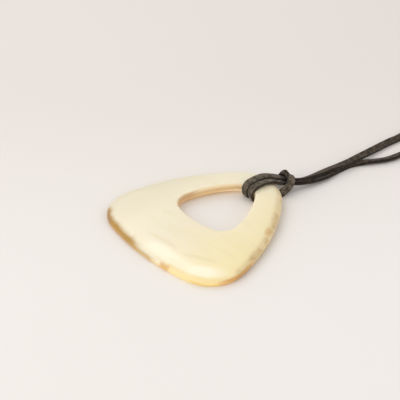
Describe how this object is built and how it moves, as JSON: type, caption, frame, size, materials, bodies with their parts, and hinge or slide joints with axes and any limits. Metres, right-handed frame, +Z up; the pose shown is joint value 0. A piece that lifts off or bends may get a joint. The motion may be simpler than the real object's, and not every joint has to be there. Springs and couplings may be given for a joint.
{
  "type": "horn pendant",
  "caption": "Rounded triangular pendant of polished pale horn with a rounded triangular hole, hitched on a loop of flat suede lace with a barrel clasp.",
  "frame": {"origin": "on the surface it lies on, under the middle of the pendant's own box (lace and clasp not counted)", "axes": "+Z up out of the table, +Y from the pendant's wide edge to its narrow end with the lace, X across the pendant"},
  "size_m": [0.0694, 0.277, 0.0088],
  "materials": {
    "horn": "polished pale horn",
    "lace": "dark grey-brown suede",
    "steel": "satin"
  },
  "bodies": {
    "root": {"pendant": "horn", "hitch": "lace", "strand_left": "lace", "strand_right": "lace", "clasp": "steel"}
  },
  "joints": []
}
